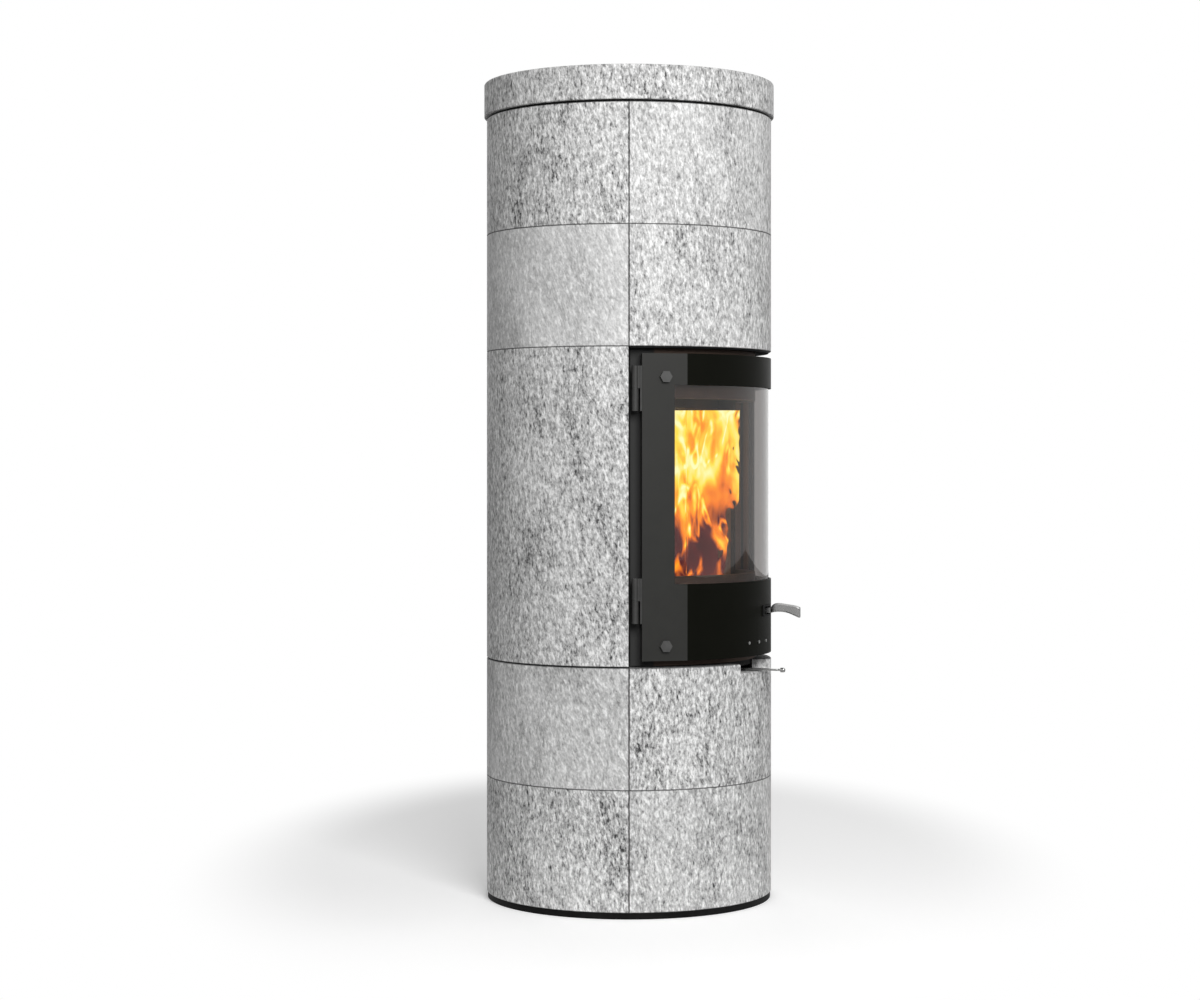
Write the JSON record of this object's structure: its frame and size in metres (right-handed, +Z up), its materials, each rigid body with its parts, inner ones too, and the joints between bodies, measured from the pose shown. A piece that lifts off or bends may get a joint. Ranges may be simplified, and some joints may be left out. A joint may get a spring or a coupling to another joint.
{
  "type": "wood stove",
  "caption": "Round free-standing wood stove clad in curved soapstone panels, with a curved glass door, side-swinging handle, air lever and top flue outlet.",
  "frame": {"origin": "centre of the round air inlet in the base plate, on the stove's axis, at floor level", "axes": "+Z up along the stove's axis, the door faces -Y, +X is to the right of a viewer who faces the door"},
  "size_m": [0.56, 0.6167, 1.566],
  "materials": {
    "stone": "honed soapstone",
    "black_steel": "matt heat-proof paint",
    "door_paint": "satin heat-proof paint",
    "cast_iron": "as cast",
    "zinc_steel": "zinc plated",
    "bolt_black": "blackened",
    "bright_steel": "satin stainless",
    "fire_brick": "pressed insulating board",
    "window_glass": "clear glass ceramic",
    "rope": "knitted glass fibre"
  },
  "bodies": {
    "body": {"stone_row1_front": "stone", "stone_row1_right": "stone", "stone_row1_left": "stone", "stone_row2_front": "stone", "stone_row2_right": "stone", "stone_row2_left": "stone", "stone_row3_right": "stone", "stone_row3_left": "stone", "stone_row4_front": "stone", "stone_row4_right": "stone", "stone_row4_left": "stone", "stone_row5_front": "stone", "stone_row5_right": "stone", "stone_row5_left": "stone", "cap_stone": "stone", "base_plate": "black_steel", "pedestal_posts": "black_steel", "shelf_plate": "black_steel", "air_box": "black_steel", "lever_shroud": "black_steel", "firebox_shell": "black_steel", "front_frame": "black_steel", "hinge_brackets": "black_steel", "latch_keeper": "black_steel", "firebox_floor": "black_steel", "ash_pan_rails": "black_steel", "baffle_upper": "black_steel", "lintel_plate": "black_steel", "stone_clips": "black_steel", "top_plate": "black_steel", "grate": "cast_iron", "flue_collar": "cast_iron", "levelling_feet": "zinc_steel", "air_duct": "zinc_steel", "air_pivot_pin": "zinc_steel", "hinge_pins": "zinc_steel", "ash_pan": "zinc_steel", "flue_bolts": "zinc_steel", "hearth_slab": "fire_brick", "lining_left": "fire_brick", "lining_right": "fire_brick", "lining_back": "fire_brick", "baffle_lower": "fire_brick"},
    "door": {"door_skin": "door_paint", "door_inner_panel": "black_steel", "door_glass": "window_glass", "glass_gasket": "rope", "glass_clips": "black_steel", "door_gasket": "rope", "door_bolts": "bolt_black", "band_studs": "bright_steel", "door_hinge_leaves": "black_steel", "handle_bezel": "door_paint", "handle_bearing": "black_steel", "handle_pin": "zinc_steel"},
    "handle": {"door_handle": "bright_steel", "latch_hook": "black_steel"},
    "air_control": {"air_gate": "zinc_steel", "air_lever": "bright_steel", "air_knob": "bright_steel"}
  },
  "joints": [
    {"name": "door_swing", "type": "hinge", "parent": "body", "child": "door", "pos_m": [-0.23794, -0.12333, 0.77], "axis": [0, 0, -1], "range_deg": [0, 100]},
    {"name": "handle_swing", "type": "hinge", "parent": "door", "child": "handle", "pos_m": [0.03646, -0.25945, 0.5552], "axis": [0, 0, 1], "range_deg": [0, 30]},
    {"name": "air_swing", "type": "hinge", "parent": "body", "child": "air_control", "pos_m": [0, 0, 0.445], "axis": [0, 0, 1], "range_deg": [-12, 12]}
  ]
}
